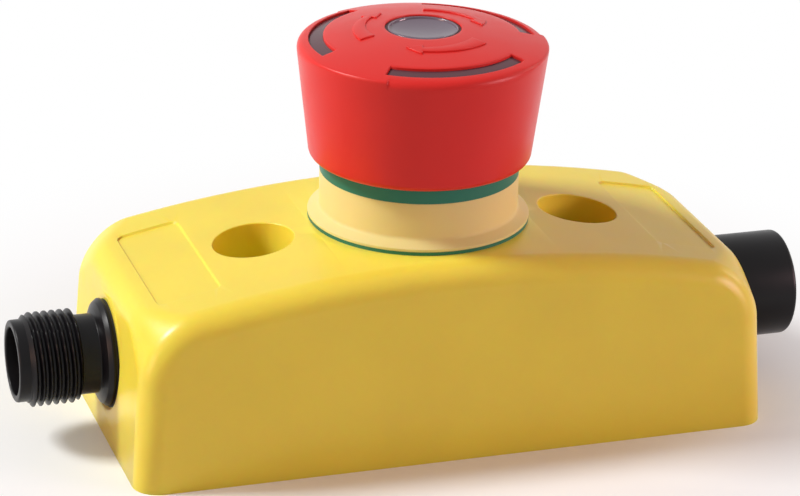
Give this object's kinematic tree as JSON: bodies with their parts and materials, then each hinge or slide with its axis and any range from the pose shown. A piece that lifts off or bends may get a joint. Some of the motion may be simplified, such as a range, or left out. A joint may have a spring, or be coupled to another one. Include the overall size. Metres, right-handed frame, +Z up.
{
  "type": "emergency stop push button",
  "caption": "Compact in-line emergency stop: yellow crowned housing with screw holes, red twist-release mushroom button on a collar, round plug and socket at its ends.",
  "frame": {"origin": "centre of the flat mounting face, midway between the two screw holes, under the button's axis", "axes": "+Z up along the button's axis; -X along the plug, +X along the socket; -Y is the long side nearest the camera in the picture"},
  "size_m": [0.1048, 0.04, 0.0512],
  "materials": {
    "yellow_plastic": "satin moulded, fine grain",
    "red_plastic": "satin moulded",
    "cream_plastic": "satin moulded, slightly translucent",
    "green_trim": "semi-gloss",
    "smoke_plastic": "smooth, translucent",
    "black_plastic": "fine matt",
    "white_plastic": "smooth",
    "clear_plastic": "clear moulded",
    "black_rubber": "matt",
    "gilt_contact": "gilt, smooth",
    "nickel_steel": "nickel plated",
    "spring_steel": "drawn wire",
    "board_laminate": "lacquered laminate"
  },
  "bodies": {
    "housing": {"housing_shell": "yellow_plastic", "base_cover": "black_plastic", "circuit_board": "board_laminate", "status_lamp": "clear_plastic", "plug_shell": "black_plastic", "plug_insert": "black_plastic", "plug_pins": "gilt_contact", "plug_seal": "black_rubber", "plug_nut": "nickel_steel", "socket_shell": "black_plastic", "socket_insert": "black_plastic", "socket_contacts": "gilt_contact", "socket_seal": "black_rubber", "socket_nut": "nickel_steel", "collar": "cream_plastic", "collar_gasket": "green_trim", "collar_nut": "black_plastic", "indicator_ring": "green_trim", "stem_seal": "black_rubber", "detent_ring": "spring_steel", "return_spring": "spring_steel", "contact_block": "black_plastic", "fixed_contacts": "gilt_contact"},
    "plunger": {"plunger_stem": "white_plastic", "light_pipe": "clear_plastic", "stem_clip": "spring_steel", "contact_carrier": "white_plastic", "contact_bridges": "gilt_contact", "bridge_springs": "spring_steel"},
    "button_head": {"button_cap": "red_plastic", "window_ring": "smoke_plastic", "center_lens": "smoke_plastic", "lens_seal": "black_rubber", "head_hub": "red_plastic", "twist_spring": "spring_steel"}
  },
  "joints": [
    {"name": "press", "type": "slide", "parent": "housing", "child": "plunger", "axis": [0, 0, -1], "range_m": [0, 0.004], "stiffness_N_per_m": 2500, "springref_m": -0.003, "deforming": ["return_spring"]},
    {"name": "twist", "type": "hinge", "parent": "plunger", "child": "button_head", "pos_m": [0, 0, 0.0434], "axis": [0, 0, -1], "range_deg": [0, 45], "stiffness_Nm_per_rad": 0.05, "springref_deg": -17.19}
  ]
}
